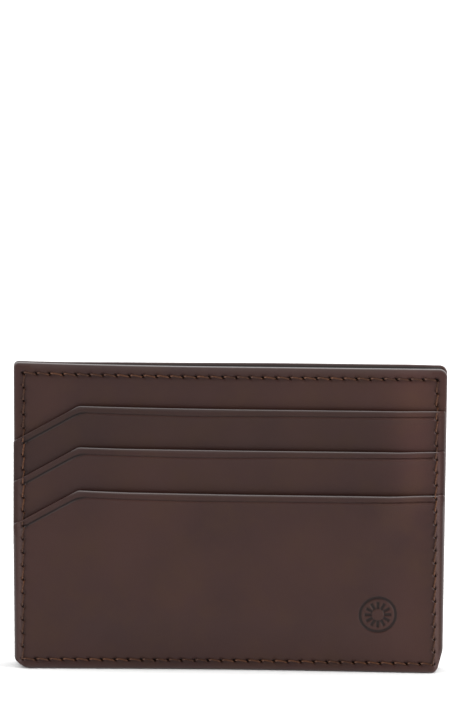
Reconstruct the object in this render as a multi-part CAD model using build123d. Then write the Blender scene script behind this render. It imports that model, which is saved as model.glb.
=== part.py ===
"""Slim leather card case: three stepped card slots on the front, a centre pocket, an ID pocket on the back.

Millimetres. +Z is up, X runs along the width, the card slots face -Y. The origin is the middle of
the bottom edge. The case is a stack of flat layers. Depths in the stack are counted from the front
face, and world_y turns a depth into a Y. Every layer is one node. Fabric layers carry the folded
hems that hold the slots open along the seams, and the threads are rows of separate stitches.
"""

import os

from build123d import *

# Outline of the case
WIDTH = 102.0
HEIGHT = 74.0
TOP_CORNER_R = 2.0
BOTTOM_CORNER_R = 3.0
HALF = WIDTH / 2

# Material thicknesses
FRONT_LEATHER = 0.7
STRIP_LEATHER = 0.5
BACK_LEATHER = 0.6
FRAME_LEATHER = 0.5
FABRIC = 0.1
FILM = 0.12

# A bank card is 0.76 thick, and 53.98 tall when it lies on its long side
CARD_SLOT = 0.8
CENTRE_GAP = 1.2

# Pocket mouths: height of the straight part, and the slanted cut at the left
LOWER_MOUTH = 43.7
MIDDLE_MOUTH = 53.9
UPPER_MOUTH = 63.7
SLANT_START_X = -35.6
SLANT_DROP_PER_MM = 0.59
SLANT_CORNER_R = 1.5
STRIP_HEIGHT = 24.2
FABRIC_BELOW_MOUTH = 2.5

# Hems inside the seams, and the folds that stop a card at its depth
HEM = 4.5
HEM_TOP = 70.0
UPPER_STOP = 14.0
MIDDLE_STOP = 8.0
STOP_FOLD = 3.0

# Identity-card pocket on the back
ID_MOUTH = 60.2
ID_WINDOW_WIDTH = 76.0
ID_WINDOW_BOTTOM = 8.0
ID_WINDOW_TOP = 50.5
ID_WINDOW_R = 3.0
FILM_OVERLAP = 2.5
THUMB_NOTCH_R = 12.0
THUMB_NOTCH_DEPTH = 5.5

# Seams
SEAM_INSET = 2.3
TOP_SEAM_INSET = 2.6
WIDE_STITCHES = 31
LEFT_STITCHES = 21
RIGHT_STITCHES = 22
THREAD_R = 0.22
THREAD_BEND_R = 0.26
LEG_OFFSET = 0.23
CORNER_LEG_OFFSET = 0.33
HOLE_R = 0.47
CORNER_HOLE_R = 0.58
GROOVE_WIDTH = 0.5
GROOVE_DEPTH = 0.25
EDGE_CLEARANCE = 0.3

# Blind-stamped ornament on the lower pocket
STAMP_X = 35.4
STAMP_Z = 14.6
STAMP_R = 4.5
STAMP_LINE = 0.55
STAMP_DEPTH = 0.15
STAMP_RAYS = 12
RAY_INNER_R = 1.5
RAY_LENGTH = 1.7

# Depth of each layer's front face, from the front face of the case
LOWER_PANEL = 0.0
LOWER_LINING = LOWER_PANEL + FRONT_LEATHER
MIDDLE_STRIP = LOWER_LINING + FABRIC + CARD_SLOT
MIDDLE_SLIP = MIDDLE_STRIP + STRIP_LEATHER
UPPER_STRIP = MIDDLE_SLIP + FABRIC + CARD_SLOT
UPPER_SLIP = UPPER_STRIP + STRIP_LEATHER
BASE_PANEL = UPPER_SLIP + FABRIC + CARD_SLOT
FRONT_LINING = BASE_PANEL + FRONT_LEATHER
CENTRE = FRONT_LINING + FABRIC + CENTRE_GAP / 2
BACK_LINING = CENTRE + CENTRE_GAP / 2
BACK_PANEL = BACK_LINING + FABRIC
ID_LINING = BACK_PANEL + BACK_LEATHER
ID_FILM = ID_LINING + FABRIC + CARD_SLOT
ID_FRAME = ID_FILM + FILM
THICKNESS = ID_FRAME + FRAME_LEATHER


def world_y(depth):
    """Y of a depth counted from the front face."""
    return depth - THICKNESS / 2


def layer(face, depth, thickness):
    """A flat face drawn in x and z, made into a sheet whose front is at that depth."""
    plane = Plane(origin=(0, world_y(depth + thickness), 0), x_dir=(1, 0, 0), z_dir=(0, -1, 0))
    return extrude(plane * face, amount=thickness)


def box_layer(x_low, x_high, z_low, z_high, depth, thickness):
    """A plain rectangular piece of a layer."""
    centre = ((x_low + x_high) / 2, world_y(depth + thickness / 2), (z_low + z_high) / 2)
    return Pos(*centre) * Box(x_high - x_low, thickness, z_high - z_low)


def polygon(points):
    """A face from its corners."""
    return make_face(Polyline(*points, close=True))


def case_outline():
    """The full outline, with its rounded corners."""
    outline = polygon([(-HALF, 0), (HALF, 0), (HALF, HEIGHT), (-HALF, HEIGHT)])
    bottom = [v for v in outline.vertices() if v.Y < HEIGHT / 2]
    outline = fillet(bottom, BOTTOM_CORNER_R)
    top = [v for v in outline.vertices() if v.Y > HEIGHT - 0.01]
    return fillet(top, TOP_CORNER_R)


OUTLINE = case_outline()


def slant_foot(mouth):
    """Height where a mouth's slanted cut meets the left edge."""
    return mouth - SLANT_DROP_PER_MM * (HALF + SLANT_START_X)


def pocket_outline(mouth, bottom=0.0, corner_r=SLANT_CORNER_R):
    """The outline of a pocket piece, from bottom up to its mouth with the slanted cut."""
    face = polygon([
        (-HALF, bottom), (HALF, bottom), (HALF, mouth), (SLANT_START_X, mouth), (-HALF, slant_foot(mouth))
    ])
    corner = [v for v in face.vertices() if abs(v.X - SLANT_START_X) < 0.01]
    return OUTLINE & fillet(corner, corner_r)


def clipped(solid):
    """Trims a hem to the rounded outline of the case."""
    return solid & layer(OUTLINE, 0, THICKNESS)


def hems(depth, thickness, left_top, right_top, z_low=0.0):
    """The folded edges of a fabric layer at the left and right, from z_low up."""
    return [
        clipped(box_layer(-HALF, -HALF + HEM, z_low, left_top, depth, thickness)),
        clipped(box_layer(HALF - HEM, HALF, z_low, right_top, depth, thickness)),
    ]


def bottom_fold(depth, thickness, z_low, z_high):
    """A fold across the case between the two side hems."""
    return box_layer(-HALF + HEM, HALF - HEM, z_low, z_high, depth, thickness)


def between(start, end, count):
    """The needle holes of a straight seam, both ends included."""
    return [start + (end - start) * (i / count) for i in range(count + 1)]


# Needle holes, in x and z
LEFT_X, RIGHT_X = -HALF + SEAM_INSET, HALF - SEAM_INSET
LOW_Z, HIGH_Z = SEAM_INSET, HEIGHT - TOP_SEAM_INSET
SIDE_SEAMS = {
    "left": between(Vector(LEFT_X, LOW_Z), Vector(LEFT_X, HIGH_Z), LEFT_STITCHES),
    "right": between(Vector(RIGHT_X, LOW_Z), Vector(RIGHT_X, HIGH_Z), RIGHT_STITCHES),
}
BOTTOM_SEAM = between(Vector(LEFT_X, LOW_Z), Vector(RIGHT_X, LOW_Z), WIDE_STITCHES)
TOP_SEAM = between(Vector(LEFT_X, HIGH_Z), Vector(RIGHT_X, HIGH_Z), WIDE_STITCHES)


def is_corner(hole):
    """True for the four holes where two seams meet."""
    return abs(abs(hole.X) - RIGHT_X) < 0.01 and min(abs(hole.Y - LOW_Z), abs(hole.Y - HIGH_Z)) < 0.01


def needle_holes():
    """One long cylinder through the whole stack for each needle hole."""
    seams = [*SIDE_SEAMS.values(), BOTTOM_SEAM, TOP_SEAM]
    places = {(round(h.X, 3), round(h.Y, 3)): h for seam in seams for h in seam}
    cylinders = []
    for hole in places.values():
        radius = CORNER_HOLE_R if is_corner(hole) else HOLE_R
        cylinders.append(Pos(hole.X, 0, hole.Y) * Rot(90, 0, 0) * Cylinder(radius, 2 * THICKNESS))
    return cylinders


HOLES = needle_holes()


def pierced(*solids):
    """The solids of one node, with the needle holes through them, as separate solids."""
    found = []
    for solid in solids:
        found.extend((solid - HOLES).solids())
    return Compound(children=found)


def groove(start, end, depth, outward):
    """A shallow channel in a face. outward is -1 on a face that looks to the front and 1 to the back."""
    low_x, high_x = sorted((start[0], end[0]))
    low_z, high_z = sorted((start[1], end[1]))
    half = GROOVE_WIDTH / 2
    front = depth if outward < 0 else depth - GROOVE_DEPTH
    return box_layer(low_x - half, high_x + half, low_z - half, high_z + half, front, GROOVE_DEPTH)


def side_grooves(low, high, depth, outward):
    """Grooves along both side seams, between two heights."""
    return [groove((x, low), (x, high), depth, outward) for x in (LEFT_X, RIGHT_X)]


def row_groove(z, depth, outward):
    """A groove along the bottom or the top seam."""
    return [groove((LEFT_X, z), (RIGHT_X, z), depth, outward)]


def stamp():
    """The ornament's cutters: a ring, and rays inside it."""
    ring = Circle(STAMP_R) - Circle(STAMP_R - STAMP_LINE)
    ray = Pos(RAY_INNER_R + RAY_LENGTH / 2, 0) * SlotOverall(RAY_LENGTH, STAMP_LINE)
    faces = [ring] + [Rot(0, 0, i * 360 / STAMP_RAYS) * ray for i in range(STAMP_RAYS)]
    return [layer(Pos(STAMP_X, STAMP_Z) * face, 0, STAMP_DEPTH) for face in faces]


# Leather pieces


def lower_pocket_panel():
    panel = layer(pocket_outline(LOWER_MOUTH), LOWER_PANEL, FRONT_LEATHER)
    panel -= side_grooves(LOW_Z, LOWER_MOUTH, LOWER_PANEL, -1) + row_groove(LOW_Z, LOWER_PANEL, -1)
    return pierced(panel - stamp())


def pocket_strip(mouth, lower_mouth, depth):
    """The visible leather strip of a stepped pocket. It ends a little way down behind the next one."""
    strip = layer(pocket_outline(mouth, mouth - STRIP_HEIGHT), depth, STRIP_LEATHER)
    return pierced(strip - side_grooves(slant_foot(lower_mouth), mouth, depth, -1))


def front_base_panel():
    panel = layer(OUTLINE, BASE_PANEL, FRONT_LEATHER)
    panel -= side_grooves(slant_foot(UPPER_MOUTH), HIGH_Z, BASE_PANEL, -1)
    panel -= row_groove(HIGH_Z, BASE_PANEL, -1) + row_groove(HIGH_Z, FRONT_LINING, 1)
    return pierced(panel)


def back_base_panel():
    panel = layer(OUTLINE, BACK_PANEL, BACK_LEATHER)
    panel -= side_grooves(ID_MOUTH, HIGH_Z, ID_LINING, 1)
    panel -= row_groove(HIGH_Z, ID_LINING, 1) + row_groove(HIGH_Z, BACK_PANEL, -1)
    return pierced(panel)


def id_pocket_frame():
    """The back pocket's leather, with its window and the thumb notch in its mouth."""
    face = OUTLINE & polygon([(-HALF, 0), (HALF, 0), (HALF, ID_MOUTH), (-HALF, ID_MOUTH)])
    window_height = ID_WINDOW_TOP - ID_WINDOW_BOTTOM
    window = RectangleRounded(ID_WINDOW_WIDTH, window_height, ID_WINDOW_R)
    face -= Pos(0, ID_WINDOW_BOTTOM + window_height / 2) * window
    face -= Pos(0, ID_MOUTH - THUMB_NOTCH_DEPTH + THUMB_NOTCH_R) * Circle(THUMB_NOTCH_R)
    frame = layer(face, ID_FRAME, FRAME_LEATHER)
    frame -= side_grooves(LOW_Z, ID_MOUTH, THICKNESS, 1) + row_groove(LOW_Z, THICKNESS, 1)
    return pierced(frame)


# Fabric pieces and the window film


def lower_pocket_lining():
    """Fabric bonded behind the lower panel. Its hems also fill the seam below the middle strip."""
    sheet = layer(pocket_outline(LOWER_MOUTH - FABRIC_BELOW_MOUTH), LOWER_LINING, FABRIC)
    depth, strip_foot = LOWER_LINING + FABRIC, MIDDLE_MOUTH - STRIP_HEIGHT
    thick = CARD_SLOT + STRIP_LEATHER
    low = hems(depth, thick, strip_foot, strip_foot)
    left_top = slant_foot(LOWER_MOUTH) - 0.5
    high = hems(depth, CARD_SLOT, left_top, LOWER_MOUTH - FABRIC_BELOW_MOUTH, strip_foot)
    return pierced(sheet, *low, *high, bottom_fold(depth, thick, 0, HEM))


def middle_pocket_slip():
    """Fabric behind the middle strip, down to the bottom seam."""
    sheet = layer(pocket_outline(MIDDLE_MOUTH - FABRIC_BELOW_MOUTH), MIDDLE_SLIP, FABRIC)
    depth, strip_foot = MIDDLE_SLIP + FABRIC, UPPER_MOUTH - STRIP_HEIGHT
    thick = CARD_SLOT + STRIP_LEATHER
    low = hems(depth, thick, strip_foot, strip_foot)
    left_top = slant_foot(MIDDLE_MOUTH) - 0.5
    high = hems(depth, CARD_SLOT, left_top, MIDDLE_MOUTH - FABRIC_BELOW_MOUTH, strip_foot)
    return pierced(sheet, *low, *high, bottom_fold(depth, thick, 0, MIDDLE_STOP))


def upper_pocket_slip():
    """Fabric behind the upper strip, with a fold that stops the card above the bottom seam."""
    sheet = layer(pocket_outline(UPPER_MOUTH - FABRIC_BELOW_MOUTH), UPPER_SLIP, FABRIC)
    depth = UPPER_SLIP + FABRIC
    left_top, right_top = slant_foot(UPPER_MOUTH) - 0.5, UPPER_MOUTH - FABRIC_BELOW_MOUTH
    sides = hems(depth, CARD_SLOT, left_top, right_top)
    stop = bottom_fold(depth, CARD_SLOT, UPPER_STOP - STOP_FOLD, UPPER_STOP)
    return pierced(sheet, *sides, bottom_fold(depth, CARD_SLOT, 0, HEM), stop)


def centre_lining(sheet_depth, hem_depth, groove_depth, outward):
    """One wall of the centre pocket. Its hems are half as thick as the pocket is wide."""
    sheet = layer(OUTLINE, sheet_depth, FABRIC) - row_groove(HIGH_Z, groove_depth, outward)
    half_gap = CENTRE_GAP / 2
    sides = hems(hem_depth, half_gap, HEM_TOP, HEM_TOP)
    return pierced(sheet, *sides, bottom_fold(hem_depth, half_gap, 0, HEM))


def id_pocket_lining():
    """Fabric on the back panel inside the identity-card pocket."""
    face = OUTLINE & polygon([(-HALF, 0), (HALF, 0), (HALF, ID_MOUTH), (-HALF, ID_MOUTH)])
    depth, thick = ID_LINING + FABRIC, CARD_SLOT + FILM
    top = ID_MOUTH - FABRIC_BELOW_MOUTH
    return pierced(
        layer(face, ID_LINING, FABRIC),
        *hems(depth, thick, top, top),
        bottom_fold(depth, thick, 0, HEM),
    )


def id_window_film():
    height = ID_WINDOW_TOP - ID_WINDOW_BOTTOM + 2 * FILM_OVERLAP
    face = RectangleRounded(ID_WINDOW_WIDTH + 2 * FILM_OVERLAP, height, ID_WINDOW_R)
    centre_z = (ID_WINDOW_TOP + ID_WINDOW_BOTTOM) / 2
    return layer(Pos(0, centre_z) * face, ID_FILM, FILM)


# Threads


def front_level(hole):
    """Depth of the foremost leather at a hole, and the height of the mouth it ends at there."""
    slanted = hole.X < 0
    for mouth, depth in ((LOWER_MOUTH, LOWER_PANEL), (MIDDLE_MOUTH, MIDDLE_STRIP), (UPPER_MOUTH, UPPER_STRIP)):
        edge = mouth - SLANT_DROP_PER_MM * (SLANT_START_X - LEFT_X) if slanted else mouth
        if hole.Y < edge:
            return depth, edge
    return BASE_PANEL, HEIGHT


def back_level(hole):
    """Depth of the hindmost leather at a hole, and the height of the mouth it ends at there."""
    return (THICKNESS, ID_MOUTH) if hole.Y < ID_MOUTH else (ID_LINING, HEIGHT)


def stitch(start, end, start_depth, end_depth, lock_depth, edge=None):
    """One staple of thread: down one hole, along the face, and down the next hole.

    Where the face steps down between the holes, edge is the height of the step's rim, and the
    thread runs level past the rim before it drops.
    """
    along = (end - start).normalized()
    first = start + along * (CORNER_LEG_OFFSET if is_corner(start) else LEG_OFFSET)
    last = end - along * (CORNER_LEG_OFFSET if is_corner(end) else LEG_OFFSET)
    route = [(first, lock_depth), (first, start_depth)]
    if start_depth != end_depth:
        route.append((Vector(start.X, edge + EDGE_CLEARANCE), start_depth))
    route += [(last, end_depth), (last, lock_depth)]
    points = [(place.X, world_y(depth), place.Y) for place, depth in route]
    path = FilletPolyline(*points, radius=THREAD_BEND_R)
    return sweep(Plane(path ^ 0) * Circle(THREAD_R), path)


def row_thread(seam, depth, lock_depth):
    """A straight row of stitches on one face."""
    return [stitch(a, b, depth, depth, lock_depth) for a, b in zip(seam, seam[1:])]


def side_thread(seam, level):
    """A row up one side, which steps with the pocket mouths and locks at the centre plane."""
    found = []
    for a, b in zip(seam, seam[1:]):
        (depth, edge), (next_depth, _) = level(a), level(b)
        found.append(stitch(a, b, depth, next_depth, CENTRE, edge))
    return found


def perimeter_thread(level, bottom_depth):
    """The stitches up both sides and along the bottom, on one face."""
    sides = side_thread(SIDE_SEAMS["left"], level) + side_thread(SIDE_SEAMS["right"], level)
    return Compound(children=sides + row_thread(BOTTOM_SEAM, bottom_depth, CENTRE))


def top_thread(depth, lock_depth):
    return Compound(children=row_thread(TOP_SEAM, depth, lock_depth))


FRONT_LOCK = (BASE_PANEL + FRONT_LINING + FABRIC) / 2
BACK_LOCK = (BACK_LINING + ID_LINING) / 2

NODES = {
    "lower_pocket_panel": lower_pocket_panel(),
    "middle_pocket_strip": pocket_strip(MIDDLE_MOUTH, LOWER_MOUTH, MIDDLE_STRIP),
    "upper_pocket_strip": pocket_strip(UPPER_MOUTH, MIDDLE_MOUTH, UPPER_STRIP),
    "front_base_panel": front_base_panel(),
    "back_base_panel": back_base_panel(),
    "id_pocket_frame": id_pocket_frame(),
    "lower_pocket_lining": lower_pocket_lining(),
    "middle_pocket_slip": middle_pocket_slip(),
    "upper_pocket_slip": upper_pocket_slip(),
    "front_centre_lining": centre_lining(FRONT_LINING, FRONT_LINING + FABRIC, FRONT_LINING + FABRIC, 1),
    "back_centre_lining": centre_lining(BACK_LINING, CENTRE, BACK_LINING, -1),
    "id_pocket_lining": id_pocket_lining(),
    "id_window_film": id_window_film(),
    "perimeter_needle_thread": perimeter_thread(front_level, LOWER_PANEL),
    "perimeter_bobbin_thread": perimeter_thread(back_level, THICKNESS),
    "front_top_needle_thread": top_thread(BASE_PANEL, FRONT_LOCK),
    "front_top_bobbin_thread": top_thread(FRONT_LINING + FABRIC, FRONT_LOCK),
    "back_top_needle_thread": top_thread(ID_LINING, BACK_LOCK),
    "back_top_bobbin_thread": top_thread(BACK_LINING, BACK_LOCK),
}

os.makedirs("parts", exist_ok=True)
for name, shape in NODES.items():
    export_step(shape, f"parts/{name}.step")
print(f"{len(NODES)} nodes, {THICKNESS:.2f} thick over the leather")
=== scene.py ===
"""Looks of the slim leather card case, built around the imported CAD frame.

Drawing is in millimetres, in x and z, with depth along y, and mesh_object turns it into metres.
Each leather or fabric node is replaced by a thin sheet with the same cut. The sheets lie at their CAD
depths in the middle of the case and are pressed together along the seams.
"""

import math

import bpy
import numpy as np
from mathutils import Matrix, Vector
from mathutils.geometry import delaunay_2d_cdt


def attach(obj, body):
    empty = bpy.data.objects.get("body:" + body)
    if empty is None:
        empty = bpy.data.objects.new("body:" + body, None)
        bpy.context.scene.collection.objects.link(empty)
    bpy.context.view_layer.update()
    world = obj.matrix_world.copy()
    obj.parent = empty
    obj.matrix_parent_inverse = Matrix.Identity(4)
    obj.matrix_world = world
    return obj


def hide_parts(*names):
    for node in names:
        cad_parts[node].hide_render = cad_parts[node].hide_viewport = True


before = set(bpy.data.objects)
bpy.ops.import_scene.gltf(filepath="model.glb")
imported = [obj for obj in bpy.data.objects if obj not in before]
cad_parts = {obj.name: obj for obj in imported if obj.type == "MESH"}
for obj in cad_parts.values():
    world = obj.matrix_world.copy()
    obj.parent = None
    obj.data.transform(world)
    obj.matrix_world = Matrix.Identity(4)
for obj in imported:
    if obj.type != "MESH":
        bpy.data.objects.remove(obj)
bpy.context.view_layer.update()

# Sizes shared with the CAD part, in millimetres
HALF = 51.0
HEIGHT = 74.0
SLANT_X = -35.6
SLANT = 0.59
MOUTHS = (43.7, 53.9, 63.7)
STRIP_HEIGHT = 24.2
ID_MOUTH = 60.2
WINDOW = (-38.0, 38.0, 8.0, 50.5, 3.0)
FILM_OVERLAP = 2.5
NOTCH_R, NOTCH_DEPTH = 12.0, 5.5
SEAM_X = 48.7
SEAM_LOW, SEAM_TOP = 2.3, 71.4
WIDE_STITCHES, LEFT_STITCHES, RIGHT_STITCHES = 31, 21, 22
STAMP_X, STAMP_Z, STAMP_R = 35.4, 14.6, 4.5
STAMP_RAYS = 12
THICKNESS = 8.62
FABRIC = 0.1

# Sizes of the bent and worn sheets, in millimetres
MM = 0.001
PRESSED = 5.4
FLAT_MARGIN = 2.8
MOUTH_RISE = dict(zip(MOUTHS, (0.05, 0.3, 0.22)))
MOUTH_LIFT = 0.35
CREASE, RIDGE = 1.5, 1.95
CREASE_ROWS = (0.9, 1.15, 1.3, 1.42, 1.55, 1.7, 1.95, 2.3)
THREAD_R = 0.18
HEM_WIDTH, HEM_THICKNESS = 4.2, 0.26
LINING_TRIM = 1.3
LINING_SHRINK = 0.15
LINING_STEP = 2.4

# Gaps between the points of a sheet, from its needle holes to its seams
HOLE_GAP, CREASE_GAP, STAMP_GAP, SEAM_GAP = 0.06, 0.09, 0.12, 0.26
RIM_GAP = 0.13

# How light the leather of a layer is, against the other layers
TONES = {"upper": 0.8, "middle": 0.93}

# Each layer: front depth in the middle of the case, front depth at the seams, thickness
LAYERS = {
    "lower": (0.0, 0.0, 0.7),
    "lower_lining": (0.7, 0.7, FABRIC),
    "middle": (1.6, 1.06, 0.5),
    "middle_slip": (2.1, 1.56, FABRIC),
    "upper": (3.0, 1.92, 0.5),
    "upper_slip": (3.5, 2.42, FABRIC),
    "base": (4.4, 2.78, 0.7),
    "front_lining": (5.1, 3.48, FABRIC),
    "back_lining": (6.4, 3.84, FABRIC),
    "back": (6.5, 3.94, 0.6),
    "id_lining": (7.1, 4.54, FABRIC),
    "film": (7.96, 4.76, 0.12),
    "id_frame": (8.12, 4.9, 0.5),
}
FRONT_PIECES = ("lower", "lower_lining", "middle", "middle_slip", "upper", "upper_slip")
BACK_PIECES = ("id_lining", "film", "id_frame")

# Share of the top's opening that each layer of the back leaf follows
BACK_LEAN = {"back_lining": 1.0, "back": 1.0, "id_lining": 1.0, "id_frame": 0.75, "film": 0.75}


# Shape of the pressed and bulging stack


def smooth(t):
    """A soft step from 0 to 1 as t goes from 0 to 1."""
    t = np.clip(t, 0, 1)
    return t * t * (3 - 2 * t)


def bulge(x, z):
    """0 at the seams and about 1 in the middle. The right side rises more steeply higher up."""
    left_reach, right_reach = 26, 22 - 13 * smooth((z - 22) / 30)
    sides = smooth((x + HALF - FLAT_MARGIN) / left_reach) * smooth((HALF - FLAT_MARGIN - x) / right_reach)
    return 0.86 * sides * smooth((z - 2.5) / 13)


def top_opening(x, z):
    """How far the two leaves of the centre pocket stand apart at the top, beyond the CAD gap."""
    corner = smooth((x - 38) / 9)
    rise = smooth((z - 30) / 44) * (1 - corner) + smooth((z - 60) / 14) * corner
    return (1.7 + 0.5 * corner) * smooth((x + 47) / 62) * rise


def curl(x, z):
    """The left end bends to the back at the top, and both lower corners bend a little to the front."""
    up = np.clip(z / HEIGHT, 0, 1)
    left, right = np.clip((-5 - x) / 46, 0, 1), np.clip((x - 8) / 43, 0, 1)
    return 2.0 * left**2 * up - (0.9 * left**1.2 + 1.0 * right**1.3) * (1 - up)


def press(x):
    """Share of its thickness that a pocket piece keeps. It is pared and pressed outside the side seams."""
    return 0.5 + 0.5 * smooth((HALF - np.abs(x) - 0.9) / 1.4)


def layer_y(layer, x, z):
    """Y of a layer's front face, with the leather's slow ripple."""
    middle, seam, _ = LAYERS[layer]
    if layer in FRONT_PIECES:
        seam = LAYERS["base"][1] - (LAYERS["base"][1] - seam) * press(x)
    elif layer in BACK_PIECES:
        seam = LAYERS["id_lining"][1] + (seam - LAYERS["id_lining"][1]) * press(x)
    share = bulge(x, z)
    y = (seam - PRESSED / 2) * (1 - share) + (middle - THICKNESS / 2) * share
    y = y + BACK_LEAN.get(layer, 0.0) * top_opening(x, z) + curl(x, z)
    ripple = 0.07 * np.sin(x * 0.11 + 0.8) * np.sin(z * 0.083 + x * 0.021) * share
    return y + ripple


def pared(layer, x):
    """Share of its thickness that a layer keeps at a place. The two leaves aren't pared."""
    return press(x) if layer in FRONT_PIECES + BACK_PIECES else x * 0 + 1.0


def mouth_z(mouth, x):
    """Height of a mouth's edge at x."""
    edge = mouth + MOUTH_LIFT * smooth((-x - 5) / 30) + MOUTH_RISE[mouth] * smooth((x + 10) / 25)
    return np.minimum(edge, edge - SLANT * (SLANT_X - x))


def front_surface(x, z):
    """Y of the foremost leather at a place."""
    found = layer_y("base", x, z)
    for mouth, layer in zip(MOUTHS[::-1], ("upper", "middle", "lower")):
        found = np.where(z < mouth_z(mouth, x), layer_y(layer, x, z), found)
    return found


def right_seam_painted_light(x, z):
    """Painted light: how much lighter the leather is made towards the right seam, stronger higher up, from 0
    to 1.
    """
    return np.exp(-(((x - 44) / 6.5) ** 2)) * (0.25 + 0.75 * smooth((z - 30) / 20))


def back_surface(x, z):
    """Y of the hindmost leather at a place, on its outer face."""
    panel = layer_y("back", x, z) + LAYERS["back"][2]
    frame_back = layer_y("id_frame", x, z) + LAYERS["id_frame"][2] * pared("id_frame", x)
    return np.where(z < ID_MOUTH, frame_back, panel)


# Outlines


def rounded(corners, step=0.7):
    """A closed outline of (x, z, radius) corners, anticlockwise, with arcs and close points."""
    found, count = [], len(corners)
    for i, (x, z, r) in enumerate(corners):
        here = np.array((x, z))
        back = np.array(corners[i - 1][:2]) - here
        ahead = np.array(corners[(i + 1) % count][:2]) - here
        back, ahead = back / np.linalg.norm(back), ahead / np.linalg.norm(ahead)
        half = math.acos(np.clip(back @ ahead, -1, 1)) / 2
        reach = r / math.tan(half)
        middle = here + (back + ahead) / np.linalg.norm(back + ahead) * r / math.sin(half)
        start, end = here + back * reach, here + ahead * reach
        a = math.atan2(*(start - middle)[::-1])
        b = math.atan2(*(end - middle)[::-1])
        turn = (b - a + math.pi) % (2 * math.pi) - math.pi
        steps = max(3, int(abs(turn) * r / 0.25))
        found += [middle + r * np.array((math.cos(a + turn * t), math.sin(a + turn * t)))
                  for t in np.linspace(0, 1, steps)]
    return spaced(np.array(found), step)


def spaced(loop, step):
    """Adds points on the long sides of a closed outline."""
    found = []
    for p, q in zip(loop, np.roll(loop, -1, 0)):
        pieces = max(1, int(np.linalg.norm(q - p) / step))
        found += [p + (q - p) * k / pieces for k in range(pieces)]
    return np.array(found)


def inset(loop, distance):
    """The outline moved inwards."""
    ahead, behind = np.roll(loop, -1, 0) - loop, loop - np.roll(loop, 1, 0)
    ahead /= np.linalg.norm(ahead, axis=1)[:, None]
    behind /= np.linalg.norm(behind, axis=1)[:, None]
    normal = np.stack([-(ahead + behind)[:, 1], (ahead + behind)[:, 0]], 1)
    normal /= np.linalg.norm(normal, axis=1)[:, None]
    cosine = np.clip((normal * np.stack([-ahead[:, 1], ahead[:, 0]], 1)).sum(1), 0.5, 1)
    return loop + normal * (distance / cosine)[:, None]


def widths(rounding, loop):
    """The width and depth of an edge's rounding at each point of an outline."""
    if callable(rounding):
        return rounding(loop)
    return np.full(len(loop), rounding[0]), np.full(len(loop), rounding[1])


def lower_corners(h, low):
    """The two lower corners, each worn to a slant with rounded ends."""
    return [(-h + 0.35, low + 1.3, 2.0), (-h + 3.6, low, 4.0), (h - 1.5, low, 1.7), (h - 0.1, low + 5.4, 5.0)]


def leaf_outline(shrink=0.0, top=HEIGHT):
    """A full-height leaf's outline."""
    h = HALF - shrink
    return rounded([*lower_corners(h, shrink), (h + 0.15, top, 1.9), (-h, top, 1.2)])


def pocket_outline(mouth, foot=0.0, shrink=0.0, drop=0.0, tip=0.4):
    """A pocket piece's outline, with its slanted upper left corner. tip rounds the ends of the mouth."""
    h = HALF - shrink
    bottom = lower_corners(h, shrink) if foot == 0 else [(-h, foot, 0.4), (h - 0.15, foot, 0.4)]
    left = float(mouth_z(mouth, -h)) - drop
    top_left, top_right = mouth + MOUTH_LIFT - drop, mouth + MOUTH_RISE[mouth] - drop
    return rounded([
        *bottom, (h - 0.15, top_right, tip), (3, top_right, 60), (SLANT_X, top_left, 1.8), (-h, left, tip),
    ])


def mouth_line(mouth):
    """The mouth's edge from left to right, with close points at its rounded corner."""
    end = HALF - 0.3
    x = np.concatenate([np.linspace(-end, SLANT_X - 1.2, 24), np.linspace(SLANT_X - 0.8, SLANT_X + 1, 6),
                        np.linspace(SLANT_X + 1.5, end, 120)])
    corner = np.exp(-((x - SLANT_X) / 1.0) ** 2)
    return np.stack([x, mouth_z(mouth, x) - 0.3 * corner], 1)


# Measures on the drawing


def distance_to(points, line, closed=False):
    """Distance of each point from a line of points."""
    a = line if closed else line[:-1]
    b = np.roll(line, -1, 0) if closed else line[1:]
    found, batch = np.full(len(points), np.inf), 64
    for start in range(0, len(a), batch):
        p, q = a[start:start + batch], b[start:start + batch]
        along = q - p
        t = ((points[:, None] - p) * along).sum(2) / (along**2).sum(1)
        near = p + np.clip(t, 0, 1)[..., None] * along
        found = np.minimum(found, np.linalg.norm(points[:, None] - near, axis=2).min(1))
    return found


def inside(points, loop):
    """True for each point inside a closed outline."""
    x, z = points[:, 0], points[:, 1]
    found = np.zeros(len(points), bool)
    for (ax, az), (bx, bz) in zip(loop, np.roll(loop, -1, 0)):
        crosses = (az > z) != (bz > z)
        found ^= crosses & (x < (bx - ax) * (z - az) / (bz - az + 1e-12) + ax)
    return found


def thinned(groups):
    """Points of several (points, gap) groups, leaving out those nearer than gap to an earlier one."""
    cell, seen, kept = 0.4, {}, []
    for points, gap in groups:
        reach = int(gap / cell) + 1
        for x, z in points:
            i, j = int(x // cell), int(z // cell)
            around = (seen.get((i + di, j + dj), ())
                      for di in range(-reach, reach + 1) for dj in range(-reach, reach + 1))
            if any((x - u) ** 2 + (z - v) ** 2 < gap * gap for near in around for u, v in near):
                continue
            seen.setdefault((i, j), []).append((x, z))
            kept.append((x, z))
    return np.array(kept)


def grid(low, high, step):
    """Points in staggered rows that fill a rectangle."""
    x, z = np.meshgrid(np.arange(low[0], high[0], step), np.arange(low[1], high[1], step))
    x = x + 0.5 * step * (np.arange(len(x)) % 2)[:, None]
    return np.stack([x.ravel(), z.ravel()], 1)


# Stitch holes


def seam(start, end, count):
    """Needle holes along a seam of so many stitches."""
    t = np.linspace(0, 1, count + 1)[:, None]
    return np.array(start) * (1 - t) + np.array(end) * t


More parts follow.
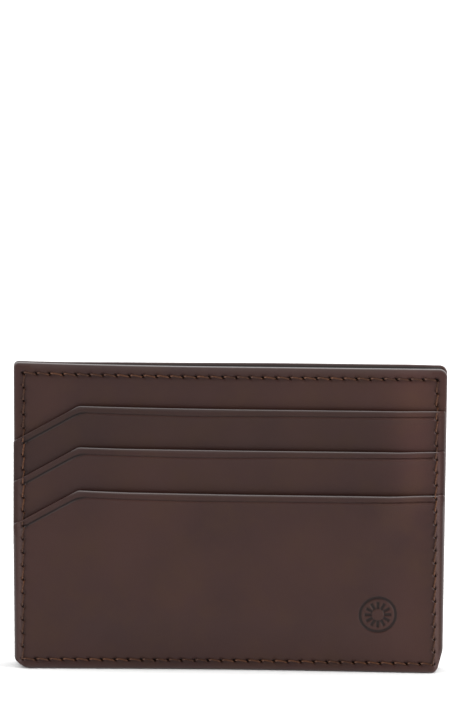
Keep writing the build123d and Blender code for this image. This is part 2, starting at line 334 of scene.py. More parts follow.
SEAMS = {
    "left": seam((-SEAM_X, SEAM_LOW), (-SEAM_X, SEAM_TOP), LEFT_STITCHES),
    "right": seam((SEAM_X, SEAM_LOW), (SEAM_X, SEAM_TOP), RIGHT_STITCHES),
    "bottom": seam((-SEAM_X, SEAM_LOW), (SEAM_X, SEAM_LOW), WIDE_STITCHES),
    "top": seam((-SEAM_X, SEAM_TOP), (SEAM_X, SEAM_TOP), WIDE_STITCHES),
}
ALL_HOLES = np.unique(np.round(np.concatenate(list(SEAMS.values())), 4), axis=0)


def hole_tilt(hole):
    """Direction of a needle's cut, which slants across its seam."""
    across = min(abs(hole[1] - SEAM_LOW), abs(hole[1] - SEAM_TOP)) < 0.01
    angle = math.radians(-33 if across else -57)
    return np.array((math.cos(angle), math.sin(angle)))


def hole_depth(points, holes):
    """How far the leather is pierced at each point, from 0 to 1."""
    found = np.zeros(len(points))
    for hole in holes:
        off = points - hole
        near = (np.abs(off) < 1).all(1)
        if not near.any():
            continue
        tilt = hole_tilt(hole)
        u, v = off[near] @ tilt, off[near] @ np.array((-tilt[1], tilt[0]))
        r = np.sqrt((u / 0.48) ** 2 + (v / 0.27) ** 2)
        found[near] = np.maximum(found[near], smooth((1.25 - r) / 0.65))
    return found


def hole_points(holes, sides=10):
    """Rings of points in and around each needle hole."""
    found = []
    for hole in holes:
        tilt = hole_tilt(hole)
        side = np.array((-tilt[1], tilt[0]))
        found.append(hole)
        for share in (0.5, 1.0, 1.4):
            for k in range(sides):
                a = 2 * math.pi * k / sides
                found.append(hole + share * (0.46 * math.cos(a) * tilt + 0.27 * math.sin(a) * side))
    return np.array(found).reshape(-1, 2)


# Fine relief of a face: depth into the leather, and painted shade in its hollows


def stamp_relief(points):
    """The stamped ring and its rays, from 0 to 1."""
    off = points - np.array((STAMP_X, STAMP_Z))
    r, a = np.linalg.norm(off, axis=1), np.arctan2(off[:, 1], off[:, 0])
    ring = smooth((0.44 - np.abs(r - STAMP_R + 0.3)) / 0.2)
    turn = math.tau / STAMP_RAYS
    across = np.abs((a + turn / 2) % turn - turn / 2) * r
    ray = smooth((0.46 - across) / 0.2) * smooth((r - 1.3) / 0.25) * smooth((3.3 - r) / 0.25)
    return np.maximum(ring, ray)


def relief(points, mouth=None, holes=(), seam_lines=(), stamped=False):
    """Depth of creases, seam channels, needle holes and the stamp, and a 0 to 1 darkness, which is painted
    shade in these hollows and, in the creases and the stamp, also their heat-darkening.
    """
    depth, dark = np.zeros(len(points)), np.zeros(len(points))
    if mouth is not None:
        off = distance_to(points, mouth)
        slanted = smooth((SLANT_X + 3 - points[:, 0]) / 3)
        crease = np.exp(-(((off - CREASE) / (0.18 + 0.1 * slanted)) ** 2))
        lip = smooth((CREASE - off) / 0.5)
        within = smooth((HALF - 1.9 - np.abs(points[:, 0])) / 0.8)
        ends = smooth((points[:, 0] - 26) / 16)
        ridge = np.exp(-(((off - RIDGE) / 0.22) ** 2)) * (0.25 + 0.75 * ends)
        depth += ((0.2 + 0.12 * slanted + 0.14 * ends) * crease + 0.08 * lip - 0.12 * ridge) * within
        # Painted shade in the crease, stronger on the slant and weaker at the right end, partly the crease's
        # own heat-darkening.
        dark += ((0.4 + 0.6 * slanted - 0.2 * ends) * crease + 0.08 * lip) * within
    for line in seam_lines:
        off = distance_to(points, line)
        depth += 0.13 * np.exp(-((off / 0.5) ** 2))
        # Painted shade along the seam channels.
        dark += 0.12 * np.exp(-((off / 0.7) ** 2))
    if len(holes):
        pierced = hole_depth(points, holes)
        depth += 0.55 * pierced
        # Painted shade in the needle holes.
        dark += 1.2 * pierced
    if stamped:
        pressed = stamp_relief(points)
        depth += 0.22 * pressed
        # Darker stamp: partly heat-darkening and partly painted shade in its recess.
        dark += 0.85 * pressed
    return depth, np.clip(dark, 0, 1)


# Mesh building


def mesh_object(name, points, faces, material, masks=None):
    """A smooth mesh object from points in millimetres."""
    mesh = bpy.data.meshes.new(name)
    mesh.from_pydata((np.asarray(points) * MM).tolist(), [], [list(map(int, f)) for f in faces])
    mesh.update()
    mesh.shade_smooth()
    for key, values in (masks or {}).items():
        mesh.attributes.new(key, "FLOAT", "POINT").data.foreach_set("value", np.asarray(values, np.float32))
    mesh.materials.append(material)
    obj = bpy.data.objects.new(name, mesh)
    bpy.context.collection.objects.link(obj)
    return obj


def triangulated(loops, points):
    """Triangles between closed outlines and the points inside, with the outlines' points first."""
    flat = np.concatenate([*loops, points]) if len(points) else np.concatenate(loops)
    edges, start = [], 0
    for loop in loops:
        count = len(loop)
        edges += [(start + k, start + (k + 1) % count) for k in range(count)]
        start += count
    result = delaunay_2d_cdt([Vector(p) for p in flat], edges, [], 1, 1e-5)
    places, faces, sources = np.array([tuple(v) for v in result[0]]), result[2], result[3]
    if len(places) != len(flat):
        raise ValueError(f"the outline or its points overlap: {len(flat)} in, {len(places)} out")
    order = np.array([s[0] for s in sources])
    faces = np.array([[order[k] for k in f] for f in faces])
    centres = flat[faces].mean(1)
    keep = inside(centres, loops[0])
    for hole in loops[1:]:
        keep &= ~inside(centres, hole)
    faces = faces[keep]
    a, b, c = flat[faces[:, 0]], flat[faces[:, 1]], flat[faces[:, 2]]
    area = (b[:, 0] - a[:, 0]) * (c[:, 1] - a[:, 1]) - (b[:, 1] - a[:, 1]) * (c[:, 0] - a[:, 0])
    faces[area < 0] = faces[area < 0][:, ::-1]
    return flat, faces


def sheet(name, layer, loops, material, fine=(), front=None, back=None, front_round=(0.15, 0.15),
          back_round=(0.12, 0.12), thickness=None, coarse=1.6):
    """A closed sheet that follows a layer, with rounded edges and relief on its faces.

    fine holds (points, gap) groups for its relief. front and back give a face's depth and darkness.
    A rounding is (width, depth), or a function that gives both for the points of an outline.
    """
    thickness = LAYERS[layer][2] if thickness is None else thickness
    rims = [inset(loop, widths(front_round, loop)[0]) for loop in loops]
    low, high = loops[0].min(0), loops[0].max(0)
    points = thinned([*fine, (grid(low, high, coarse), coarse * 0.62)])
    clear = inside(points, rims[0]) & (distance_to(points, rims[0], True) > RIM_GAP)
    for hole in rims[1:]:
        clear &= ~inside(points, hole) & (distance_to(points, hole, True) > RIM_GAP)
    flat, faces = triangulated(rims, points[clear])
    all_points, all_faces, paint_and_highlight, shade = [], [], [], []

    def add(drawn, depth, painted, dark):
        """Adds points at a depth in the layer, and says where they start."""
        start = sum(map(len, all_points))
        y = layer_y(layer, drawn[:, 0], drawn[:, 1]) + depth * pared(layer, drawn[:, 0])
        all_points.append(np.stack([drawn[:, 0], y, drawn[:, 1]], 1))
        paint_and_highlight.append(np.full(len(drawn), painted) if np.isscalar(painted) else painted)
        shade.append(np.zeros(len(drawn)) + dark)
        return start

    rim_count = sum(map(len, rims))
    rim_paint_and_highlight = np.zeros(len(flat))
    # Painted edges and their painted highlights spill a little onto each face's rim.
    rim_paint_and_highlight[:rim_count] = 0.1 * np.concatenate([paint_and_highlight_of(loop, layer) for loop in loops])
    depth, dark = front(flat) if front else (0, 0)
    front_start = add(flat, depth, rim_paint_and_highlight, dark)
    all_faces += (faces + front_start).tolist()
    depth, dark = back(flat) if back else (0, 0)
    back_flat = flat.copy()
    back_flat[:rim_count] = np.concatenate([inset(loop, widths(back_round, loop)[0]) for loop in loops])
    back_start = add(back_flat, thickness - depth, rim_paint_and_highlight, dark)
    all_faces += (faces[:, ::-1] + back_start).tolist()

    offset, edge_rings = 0, ((60, 0.4), (30, 0.8), (0, 1.0))
    for loop in loops:
        count, painted = len(loop), paint_and_highlight_of(loop, layer)
        starts = [front_start + offset]
        width, height = widths(front_round, loop)
        for angle, share in edge_rings:
            ring = inset(loop, width * (1 - math.cos(math.radians(angle))))
            starts.append(add(ring, height * (1 - math.sin(math.radians(angle))), painted * share, 0))
        width, height = widths(back_round, loop)
        for angle, share in edge_rings[::-1]:
            ring = inset(loop, width * (1 - math.cos(math.radians(angle))))
            depth = thickness - height * (1 - math.sin(math.radians(angle)))
            starts.append(add(ring, depth, painted * share, 0))
        starts.append(back_start + offset)
        for p, q in zip(starts, starts[1:]):
            all_faces += [(p + k, q + k, q + (k + 1) % count, p + (k + 1) % count) for k in range(count)]
        offset += count
    solid = np.concatenate(all_points)
    # Painted light: leather lightened towards the right seam, most on the upper strip.
    painted_light = (0.85 if layer == "upper" else 0.5) * right_seam_painted_light(solid[:, 0], solid[:, 2])
    masks = {"paint_and_highlight": np.concatenate(paint_and_highlight), "shade": np.concatenate(shade),
             "tone": TONES.get(layer, 1.0) * (1 + painted_light)}
    return mesh_object(name, solid, all_faces, material, masks)


def paint_and_highlight_of(loop, layer):
    """Glossy edge colour at each point of an outline, also standing for painted highlights: full on the front
    leaf's top, less at the mouths and fading on their slant, duller on the case's sides, and weak on the back
    leaf's top, where the dark reads as painted shade.
    """
    x, z = loop[:, 0], loop[:, 1]
    side, side_paint = smooth(np.maximum(np.abs(x) - HALF + 0.6, 0.35 - z) / 0.3), 0.6
    if layer in ("back", "base"):
        return (0.4 if layer == "back" else 1.0) * (1 - side) + side_paint * side
    within = smooth((HALF - 1.4 - np.abs(x)) / 1.2) * (1 - 0.92 * smooth((SLANT_X + 1 - x) / 4))
    return 0.57 * within * (1 - side) + side_paint * side


def joined(name, objects):
    """One object from several."""
    bpy.ops.object.select_all(action="DESELECT")
    for obj in objects:
        obj.select_set(True)
    bpy.context.view_layer.objects.active = objects[0]
    bpy.ops.object.join()
    objects[0].name = name
    return objects[0]


def hems(layer, loops):
    """Folded strips along the seams, between a lining and the next leather."""
    found = []
    for loop in loops:
        piece = sheet("hem", layer, [loop], LINING, side_columns(), thickness=HEM_THICKNESS,
                      front_round=(0.06, 0.06), back_round=(0.06, 0.06), coarse=LINING_STEP)
        for vertex in piece.data.vertices:
            vertex.co.y += FABRIC * MM
        found.append(piece)
    return found


def thread_row(name, holes, surface, side, count=15):
    """A row of stitches, each a tube over so many points. side is -1 on the front and 1 on the back."""
    points, faces = [], []
    for a, b in zip(holes, holes[1:]):
        along = (b - a) / np.linalg.norm(b - a)
        across = np.array((along[1], -along[0])) * side
        t = np.linspace(0, 1, count)
        sway = 0.17 * np.cos(math.pi * t) + 0.1
        drawn = a + (b - a) * (0.045 + 0.91 * t)[:, None] + across * sway[:, None]
        y = surface(drawn[:, 0], drawn[:, 1]) * -side
        resting = np.array([y[max(0, k - 1):k + 2].max() for k in range(count)])
        resting = np.convolve(np.pad(resting, 1, mode="edge"), (0.25, 0.5, 0.25), "valid")
        lift = -0.04 + 0.07 * np.sin(math.pi * t) - 0.5 * (1 - smooth(np.minimum(t, 1 - t) / 0.2))
        centre = np.stack([drawn[:, 0], (resting + lift) * -side, drawn[:, 1]], 1)
        points_of, faces_of = tube(centre, THREAD_R)
        faces += (faces_of + len(points) * len(points_of)).tolist()
        points.append(points_of)
    return mesh_object(name, np.concatenate(points), faces, THREAD)


def tube(centre, radius, sides=10, twists=3.0):
    """A two-ply twisted tube along a line of points."""
    tangent = np.gradient(centre, axis=0)
    tangent /= np.linalg.norm(tangent, axis=1)[:, None]
    out = np.cross(tangent, np.cross((0.0, 1.0, 0.0), tangent))
    out /= np.linalg.norm(out, axis=1)[:, None]
    side = np.cross(tangent, out)
    angle = np.linspace(0, 2 * math.pi, sides, endpoint=False)
    ply = np.linspace(0, math.pi * twists, len(centre))[:, None]
    r = radius * (1 + 0.13 * np.cos(2 * (angle - ply)))
    round_it = np.cos(angle)[:, None] * out[:, None] + np.sin(angle)[:, None] * side[:, None]
    rings = centre[:, None] + r[..., None] * round_it
    k, j = np.meshgrid(np.arange(len(centre) - 1), np.arange(sides), indexing="ij")
    nxt = (j + 1) % sides
    quads = np.stack([k * sides + j, k * sides + nxt, (k + 1) * sides + nxt, (k + 1) * sides + j], -1)
    return rings.reshape(-1, 3), quads.reshape(-1, 4)


# Materials


def new_material(name):
    """A material with its nodes, links, shader and object coordinates."""
    material = bpy.data.materials.new(name)
    material.use_nodes = True
    nodes, links = material.node_tree.nodes, material.node_tree.links
    coords = nodes.new("ShaderNodeTexCoord").outputs["Object"]
    return material, nodes, links, nodes["Principled BSDF"], coords


def noise(nodes, links, coords, scale, detail=3.0, rough=0.55):
    """A noise texture of so many features to the metre."""
    node = nodes.new("ShaderNodeTexNoise")
    node.inputs["Scale"].default_value = scale
    node.inputs["Detail"].default_value = detail
    node.inputs["Roughness"].default_value = rough
    links.new(coords, node.inputs["Vector"])
    return node.outputs["Fac"]


def ramp(nodes, links, factor, low, high):
    """Maps a factor between low and high (position, value) pairs."""
    node = nodes.new("ShaderNodeMapRange")
    node.inputs["From Min"].default_value, node.inputs["To Min"].default_value = low
    node.inputs["From Max"].default_value, node.inputs["To Max"].default_value = high
    links.new(factor, node.inputs["Value"])
    return node.outputs["Result"]


def mixed(nodes, links, factor, a, b, blend="MIX"):
    """Mixes two colours, each a value or a socket."""
    node = nodes.new("ShaderNodeMix")
    node.data_type = "RGBA"
    node.blend_type = blend
    for socket, value in ((node.inputs[0], factor), (node.inputs[6], a), (node.inputs[7], b)):
        if isinstance(value, bpy.types.NodeSocket):
            links.new(value, socket)
        elif hasattr(value, "__len__"):
            socket.default_value = (*value, 1)
        else:
            socket.default_value = value
    return node.outputs[2]


def attribute(nodes, name):
    """A value that the mesh holds at each point."""
    node = nodes.new("ShaderNodeAttribute")
    node.attribute_name = name
    return node.outputs["Fac"]


def math_node(nodes, links, operation, a, b):
    """One step of arithmetic on two numbers, each a value or a socket."""
    node = nodes.new("ShaderNodeMath")
    node.operation = operation
    for socket, value in ((node.inputs[0], a), (node.inputs[1], b)):
        if isinstance(value, bpy.types.NodeSocket):
            links.new(value, socket)
        else:
            socket.default_value = value
    return node.outputs[0]


def bump(nodes, links, shader, height, distance, strength):
    """Fine relief in the shading, from a height of 0 to 1 that stands for so many metres."""
    node = nodes.new("ShaderNodeBump")
    node.inputs["Distance"].default_value = distance
    node.inputs["Strength"].default_value = strength
    links.new(height, node.inputs["Height"])
    links.new(node.outputs["Normal"], shader.inputs["Normal"])


def leather_material():
    """Smooth pull-up leather: slow mottling, fine pores, painted shade in creases, seam channels, needle
    holes and the stamp, grey painted edges made light enough to give painted highlights, and painted light
    towards the right seam.
    """
    material, nodes, links, shader, coords = new_material("leather")
    deep, pale, tan = (0.028, 0.0098, 0.0082), (0.037, 0.0135, 0.0102), (0.041, 0.0175, 0.0095)
    # The near-black is painted shade for the hollows; the grey of the painted edges is light enough to stand
    # also for painted highlights.
    crease, edge_paint_and_highlight = (0.004, 0.002, 0.002), (0.18, 0.173, 0.172)
    slow = noise(nodes, links, coords, 38, 2.0)
    patches = noise(nodes, links, coords, 130, 4.0, 0.6)
    colour = mixed(nodes, links, ramp(nodes, links, slow, (0.36, 0), (0.64, 1)), deep, pale)
    warm = ramp(nodes, links, patches, (0.45, 0), (0.75, 0.55))
    colour = mixed(nodes, links, warm, colour, tan)
    # The tone mask holds each layer's lightness and the painted light towards the right seam.
    colour = mixed(nodes, links, 1.0, colour, attribute(nodes, "tone"), "MULTIPLY")
    # Painted shade: the shade mask darkens needle holes, seam channels, creases and the stamp towards the
    # near-black, with some heat-darkening in the creases and the stamp.
    dark = attribute(nodes, "shade")
    colour = mixed(nodes, links, math_node(nodes, links, "MULTIPLY", dark, 0.85), colour, crease)
    # Grey painted edges, made light enough that they also give painted highlights on top edges and mouths.
    paint_and_highlight = attribute(nodes, "paint_and_highlight")
    colour = mixed(nodes, links, paint_and_highlight, colour, edge_paint_and_highlight)
    links.new(colour, shader.inputs["Base Color"])
    rough = ramp(nodes, links, patches, (0.3, 0.43), (0.7, 0.55))
    rough = math_node(nodes, links, "SUBTRACT", rough, math_node(nodes, links, "MULTIPLY", paint_and_highlight, 0.22))
    links.new(rough, shader.inputs["Roughness"])
    shader.inputs["Specular IOR Level"].default_value = 0.22
    pores = nodes.new("ShaderNodeTexVoronoi")
    pores.feature = "DISTANCE_TO_EDGE"
    pores.inputs["Scale"].default_value = 2300
    links.new(coords, pores.inputs["Vector"])
    grain = ramp(nodes, links, pores.outputs["Distance"], (0.0, 0.0), (0.22, 1.0))
    fine = noise(nodes, links, coords, 900, 4.0, 0.6)
    height = math_node(nodes, links, "ADD", math_node(nodes, links, "MULTIPLY", grain, 0.35), fine)
    bump(nodes, links, shader, height, 0.00004, 0.35)
    return material


def lining_material():
    """Fine plain weave."""
    material, nodes, links, shader, coords = new_material("lining")
    waves = []
    for direction in ("X", "Z"):
        wave = nodes.new("ShaderNodeTexWave")
        wave.bands_direction = direction
        wave.inputs["Scale"].default_value = 900
        wave.inputs["Distortion"].default_value = 0.4
        links.new(coords, wave.inputs["Vector"])
        waves.append(wave.outputs["Fac"])
    weave = math_node(nodes, links, "MULTIPLY", *waves)
    colour = mixed(nodes, links, weave, (0.024, 0.0165, 0.015), (0.034, 0.023, 0.02))
    slow = noise(nodes, links, coords, 60)
    colour = mixed(nodes, links, ramp(nodes, links, slow, (0.3, 0), (0.7, 0.4)), colour, (0.03, 0.02, 0.018))
    links.new(colour, shader.inputs["Base Color"])
    shader.inputs["Roughness"].default_value = 0.8
    shader.inputs["Sheen Weight"].default_value = 0.1
    bump(nodes, links, shader, weave, 0.00003, 0.15)
    return material


def thread_material():
    """Bonded thread, a little redder than the leather."""
    material, nodes, links, shader, coords = new_material("thread")
    fibres = noise(nodes, links, coords, 2500, 2.0)
    slow = noise(nodes, links, coords, 90, 2.0)
    deep, pale, tan = (0.03, 0.0115, 0.006), (0.055, 0.021, 0.01), (0.085, 0.031, 0.012)
    colour = mixed(nodes, links, ramp(nodes, links, fibres, (0.35, 0), (0.65, 1)), deep, pale)
    colour = mixed(nodes, links, ramp(nodes, links, slow, (0.42, 0), (0.62, 0.7)), colour, tan)
    links.new(colour, shader.inputs["Base Color"])
    shader.inputs["Roughness"].default_value = 0.55
    shader.inputs["Specular IOR Level"].default_value = 0.2
    bump(nodes, links, shader, fibres, 0.00005, 0.5)
    return material


def film_material():
    """Clear flexible film, a little dulled in places."""
    material, nodes, links, shader, coords = new_material("window_film")
    dull = noise(nodes, links, coords, 90, 1.0)
    shader.inputs["Base Color"].default_value = (0.1, 0.105, 0.105, 1)
    links.new(ramp(nodes, links, dull, (0.35, 0.16), (0.7, 0.26)), shader.inputs["Roughness"])
    shader.inputs["Alpha"].default_value = 0.12
    return material


def floor_material():
    """Matt white board."""
    material, nodes, links, shader, coords = new_material("floor")
    shader.inputs["Roughness"].default_value = 0.9
    shader.inputs["Specular IOR Level"].default_value = 0.1
    tone = mixed(nodes, links, noise(nodes, links, coords, 6), (0.73, 0.73, 0.73), (0.75, 0.75, 0.75))
    links.new(tone, shader.inputs["Base Color"])
    return material


LEATHER, LINING, THREAD, FILM = leather_material(), lining_material(), thread_material(), film_material()


# Pieces


def seam_band(low_z, high_z, row=None):
    """Fine points along the side seams between two heights, and along a row of stitches across."""
    margin, step = 1.1, 0.42
    found = [grid((low_x, low_z), (high_x, high_z), step)
             for low_x, high_x in ((-HALF, margin - SEAM_X), (SEAM_X - margin, HALF))]
    if row is not None:
        found.append(grid((-HALF, row - margin), (HALF, row + margin), step))
    return np.concatenate(found)


def level(z):
    """The same height at each x."""
    return lambda x: x * 0 + z


def holes_between(low, high):
    """Needle holes in the piece of leather between two height functions of x."""
    x, z = ALL_HOLES[:, 0], ALL_HOLES[:, 1]
    return ALL_HOLES[(z > low(x)) & (z < high(x))]


def crease_points(mouth):
    """Rows of points along the crease below a mouth."""
    line = mouth_line(mouth)
    tangent = np.gradient(line, axis=0)
    tangent /= np.linalg.norm(tangent, axis=1)[:, None]
    below = np.stack([tangent[:, 1], -tangent[:, 0]], 1)
    rows = (0.55, 0.9, 1.12, 1.26, 1.38, 1.5, 1.62, 1.74, 1.85, 1.96, 2.1, 2.3)
    return np.concatenate([line + off * below for off in rows])


def seam_lines(low, high, row=None):
    """The side seams between two heights, and a row of stitches across."""
    lines = [np.array([(x, low), (x, high)]) for x in (-SEAM_X, SEAM_X)]
    if row is not None:
        lines.append(np.array([(-SEAM_X, row), (SEAM_X, row)]))
    return lines


def finish(obj, node):
    """Puts a piece in place of its CAD node."""
    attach(obj, "root")
    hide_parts(node)
    return obj


def stamp_points(reach=5):
    """Close points under the stamp."""
    area = grid((STAMP_X - reach, STAMP_Z - reach), (STAMP_X + reach, STAMP_Z + reach), 0.17)
    return area[np.linalg.norm(area - (STAMP_X, STAMP_Z), axis=1) < reach]


def pocket(name, node, layer, order):
    """A front pocket piece, the first one full, stamped and lowest, the others strips above it."""
    mouth, lowest = MOUTHS[order], order == 0
    foot = 0.0 if lowest else mouth - STRIP_HEIGHT
    covered = level(-1) if lowest else (lambda x: mouth_z(MOUTHS[order - 1], x))
    holes = holes_between(covered, lambda x: mouth_z(mouth, x))
    row = SEAM_LOW if lowest else None
    lines, line = seam_lines(foot, mouth, row), mouth_line(mouth)
    fine = [(hole_points(holes), HOLE_GAP), (crease_points(mouth), CREASE_GAP)]
    if lowest:
        fine.append((stamp_points(), STAMP_GAP))
    fine.append((seam_band(foot, mouth, row), SEAM_GAP))

    def face(points):
        return relief(points, line, holes, lines, stamped=lowest)

    def edge(loop):
        """Wide at the case's outer edges and narrow at the mouth."""
        x, z = loop[:, 0], loop[:, 1]
        wide = smooth((mouth_z(mouth, x) - z - 1.0) / 2.5) if lowest else 0 * x
        return 0.24 + 0.3 * wide, 0.2 + 0.3 * wide

    obj = sheet(name, layer, [pocket_outline(mouth, foot, tip=0.5)], LEATHER, fine, face, front_round=edge)
    return finish(obj, node)


def leaf(name, node, layer, holes, outer):
    """A full-height leather leaf. outer is front or back, the side that shows the stitches."""
    fine = [(hole_points(holes), HOLE_GAP), (seam_band(40, HEIGHT, SEAM_TOP), SEAM_GAP)]
    lines = seam_lines(30, SEAM_TOP, SEAM_TOP)

    def face(points):
        return relief(points, None, holes, lines)

    looks = {outer: face, "front_round": (0.3, 0.3), "back_round": (0.3, 0.3)}
    return finish(sheet(name, layer, [leaf_outline()], LEATHER, fine, **looks), node)


def notch(loop):
    """Cuts the thumb notch into the upper edge of an outline."""
    centre = np.array((0.0, ID_MOUTH - NOTCH_DEPTH + NOTCH_R))
    off = loop - centre
    r = np.linalg.norm(off, axis=1)
    inner = (r < NOTCH_R) & (loop[:, 1] > ID_MOUTH - 1)
    found = loop.copy()
    x = np.clip(off[inner, 0], -NOTCH_R, NOTCH_R)
    found[inner, 1] = centre[1] - np.sqrt(NOTCH_R**2 - x**2)
    return spaced(found, 0.7)


def id_outline(shrink=0.0):
    """The identity-card pocket's outline, without its thumb notch."""
    h = HALF - shrink
    return rounded([*lower_corners(h, shrink), (h, ID_MOUTH, 0.4), (-h, ID_MOUTH, 0.4)])


def id_frame():
    """The windowed leather of the back pocket."""
    x0, x1, z0, z1, r = WINDOW
    window = rounded([(x0, z0, r), (x1, z0, r), (x1, z1, r), (x0, z1, r)])[::-1]
    outer = notch(id_outline())
    holes = holes_between(level(-1), level(ID_MOUTH))
    upper_edge = (outer[:, 1] > ID_MOUTH - NOTCH_DEPTH - 0.2) & (np.abs(outer[:, 0]) < HALF - 0.3)
    mouth = outer[upper_edge][::-1]
    lines = seam_lines(0, ID_MOUTH, SEAM_LOW)
    rows = [inset(window, off) for off in (0.5, *CREASE_ROWS)] + [inset(outer, off) for off in CREASE_ROWS]

    def face(points):
        depth, dark = relief(points, mouth, holes, lines)
        off = distance_to(points, window, True)
        crease = np.exp(-(((off - CREASE) / 0.17) ** 2))
        # Darker crease round the window: partly heat-darkening and partly painted shade.
        return depth + 0.14 * crease, np.clip(dark + 0.7 * crease, 0, 1)

    fine = [(hole_points(holes), HOLE_GAP), (np.concatenate(rows), CREASE_GAP),
            (seam_band(0, ID_MOUTH, SEAM_LOW), SEAM_GAP)]
    obj = sheet("id_pocket_leather", "id_frame", [outer, window], LEATHER, fine, back=face,
                back_round=(0.6, 0.4))
    return finish(obj, "id_pocket_frame")


def hem_outlines(top, fold):
    """Outlines of the two side hems and the bottom fold."""
    outer, low, r, step = HALF - LINING_TRIM, 0.1, 0.3, 1.2
    inner = outer - HEM_WIDTH
    end = inner - 0.05
    return [
        rounded([(-outer, low, 2.6), (-inner, low, r), (-inner, top, r), (-outer, top - 1, r)], step),
        rounded([(inner, low, r), (outer, low, 2.6), (outer, top - 1, r), (inner, top, r)], step),
        rounded([(-end, low, r), (end, low, r), (end, fold, r), (-end, fold, r)], step),
    ]


def side_columns():
    """Close columns of points where the linings bend into the pressed side edges."""
    heights = np.arange(0.5, HEIGHT, 1.5)
    columns = [(s * x, z) for s in (-1, 1) for x in (48.1, 48.6, 49.0, 49.35) for z in heights]
    return [(np.array(columns), 0.3)]


def lining(name, node, layer, loop, hem_top, fold=HEM_WIDTH):
    """A fabric sheet that rests on a leather piece. Its flat size is its outline plus the hems."""
    loop = np.stack([np.clip(loop[:, 0], LINING_TRIM - HALF, HALF - LINING_TRIM), loop[:, 1]], 1)
    loop = loop[np.linalg.norm(loop - np.roll(loop, 1, 0), axis=1) > 0.05]
    cloth = sheet(name, layer, [loop], LINING, side_columns(), thickness=FABRIC, front_round=(0.04, 0.04),
                  back_round=(0.04, 0.04), coarse=LINING_STEP)
    piece = joined(name, [cloth, *hems(layer, hem_outlines(hem_top, fold))])
    finish(piece, node)


def build_leathers():
    """The pocket pieces, the two leaves and the window's frame, each cut flat to its height."""
    lower = pocket("lower_pocket_leather", "lower_pocket_panel", "lower", 0)
    middle = pocket("middle_pocket_leather", "middle_pocket_strip", "middle", 1)
    upper = pocket("upper_pocket_leather", "upper_pocket_strip", "upper", 2)
    front_holes = holes_between(lambda x: mouth_z(MOUTHS[2], x), level(HEIGHT))
    front = leaf("front_leaf_leather", "front_base_panel", "base", front_holes, "front")
    back_holes = holes_between(level(ID_MOUTH), level(HEIGHT))
    back = leaf("back_leaf_leather", "back_base_panel", "back", back_holes, "back")
    window_frame = id_frame()


def build_linings():
    """A cloth behind each pocket piece, one in each leaf and one behind the window."""
    for order, (place, node, layer, hem_top, fold) in enumerate((
        ("lower", "lower_pocket_lining", "lower_lining", 32.0, HEM_WIDTH),
        ("middle", "middle_pocket_slip", "middle_slip", 42.0, 8.0),
        ("upper", "upper_pocket_slip", "upper_slip", 52.0, HEM_WIDTH),
    )):
        outline = pocket_outline(MOUTHS[order], shrink=LINING_SHRINK, drop=2.5)
        lining(f"{place}_pocket_cloth", node, layer, outline, hem_top, fold)
    for side in ("front", "back"):
        outline = leaf_outline(LINING_SHRINK, HEIGHT - 0.35)
        lining(f"{side}_leaf_cloth", f"{side}_centre_lining", f"{side}_lining", outline, 69.0)
    lining("id_pocket_cloth", "id_pocket_lining", "id_lining", id_outline(LINING_SHRINK), 57.0)


def build_film():
    """The clear film behind the window, a little larger than it."""
    x0, x1, z0, z1, r = WINDOW
    m = FILM_OVERLAP
    loop = rounded([(x0 - m, z0 - m, r), (x1 + m, z0 - m, r), (x1 + m, z1 + m, r), (x0 - m, z1 + m, r)])
    obj = sheet("window_film", "film", [loop], FILM, front_round=(0.03, 0.03), back_round=(0.03, 0.03),
                coarse=LINING_STEP)
    finish(obj, "id_window_film")


def build_threads():
    """The seam around the sides and the bottom, and a row below each leaf's top edge, on both faces."""
    seam_rows = [SEAMS["left"][::-1], SEAMS["right"][::-1], SEAMS["bottom"]]
    for face, thread, surface, side in (
        ("front", "needle", front_surface, -1), ("back", "bobbin", back_surface, 1),
    ):
        rows = [thread_row("stitches", row, surface, side) for row in seam_rows]
        finish(joined(f"perimeter_{face}_stitches", rows), f"perimeter_{thread}_thread")

    def inside_front(x, z):
        return layer_y("base", x, z) + (LAYERS["base"][2] + FABRIC)

    def inside_back(x, z):
        return layer_y("back_lining", x, z)

    for name, surface, side, node in (
        ("front_top_stitches", front_surface, -1, "front_top_needle_thread"),
        ("front_top_inner_stitches", inside_front, 1, "front_top_bobbin_thread"),
        ("back_top_stitches", back_surface, 1, "back_top_needle_thread"),
        ("back_top_inner_stitches", inside_back, -1, "back_top_bobbin_thread"),
    ):
        finish(thread_row(name, SEAMS["top"], surface, side), node)


# Stage, light and camera


def area_light(name, place, target, size, power):
    """A rectangular light at a place, turned to a target."""
    data = bpy.data.lights.new(name, "AREA")
    data.shape, data.size, data.size_y, data.energy = "RECTANGLE", *size, power
    obj = bpy.data.objects.new(name, data)
    obj.location = place
    obj.rotation_euler = (Vector(target) - Vector(place)).to_track_quat("-Z", "Y").to_euler()
    bpy.context.collection.objects.link(obj)


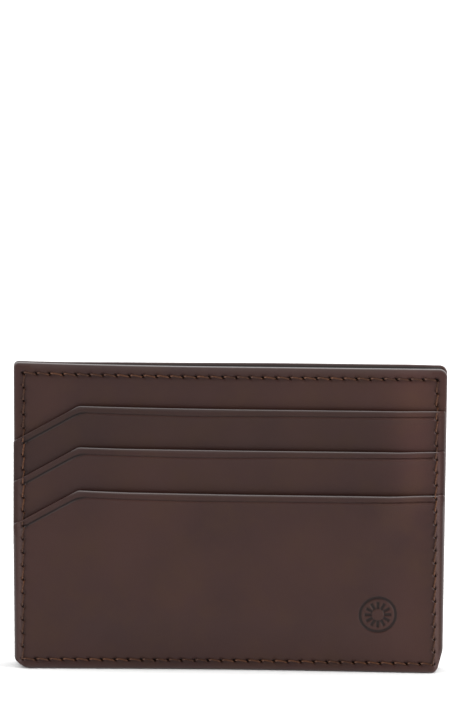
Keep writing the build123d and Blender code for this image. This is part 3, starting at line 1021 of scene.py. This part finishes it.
def build_stage():
    """A pale floor, a white surround and three soft lights."""
    half, camera_strength, light_strength = 3.0, 1.05, 0.46
    floor = bpy.data.meshes.new("floor")
    corners = [(-half, -half, 0), (half, -half, 0), (half, half, 0), (-half, half, 0)]
    floor.from_pydata(corners, [], [(0, 1, 2, 3)])
    floor.materials.append(floor_material())
    obj = bpy.data.objects.new("floor", floor)
    bpy.context.collection.objects.link(obj)
    world = bpy.data.worlds.new("studio")
    bpy.context.scene.world = world
    world.use_nodes = True
    nodes, links = world.node_tree.nodes, world.node_tree.links
    background = nodes["Background"]
    path = nodes.new("ShaderNodeLightPath")
    strength = ramp(nodes, links, path.outputs["Is Camera Ray"], (0, light_strength), (1, camera_strength))
    links.new(strength, background.inputs["Strength"])
    background.inputs["Color"].default_value = (1, 1, 1, 1)
    area_light("top", (0.0, 0.15, 2.2), (0, 0, 0), (2.6, 1.0), 60)
    area_light("right", (2.0, -0.3, 0.7), (0, 0, 0.04), (0.8, 1.2), 64)
    area_light("left", (-2.0, -0.6, 0.8), (0, 0, 0.04), (1.0, 1.4), 34)


def build_camera():
    """A long lens in front of the case, a little above it. width is what the view takes in at its aim."""
    elevation, turn, roll = (math.radians(angle) for angle in (16.0, 1.1, 0.35))
    distance, width, sensor = 1.9, 0.1087, 36
    level_out = math.cos(elevation)
    back = Vector((math.sin(turn) * level_out, -math.cos(turn) * level_out, math.sin(elevation)))
    rotation = (-back).to_track_quat("-Z", "Y")
    up = rotation @ Vector((0, 1, 0))
    aim = Vector((0, 0, 0.037)) + up * 0.0389
    data = bpy.data.cameras.new("camera")
    data.sensor_fit = "HORIZONTAL"
    data.sensor_width = sensor
    data.lens = sensor * distance / width
    camera = bpy.data.objects.new("camera", data)
    camera.location = aim + back * distance
    camera.rotation_euler = rotation.to_euler()
    camera.rotation_euler.rotate_axis("Z", roll)
    bpy.context.collection.objects.link(camera)
    bpy.context.scene.camera = camera


build_leathers()
build_linings()
build_film()
build_threads()
build_stage()
build_camera()
bpy.context.scene.view_settings.view_transform = "Standard"
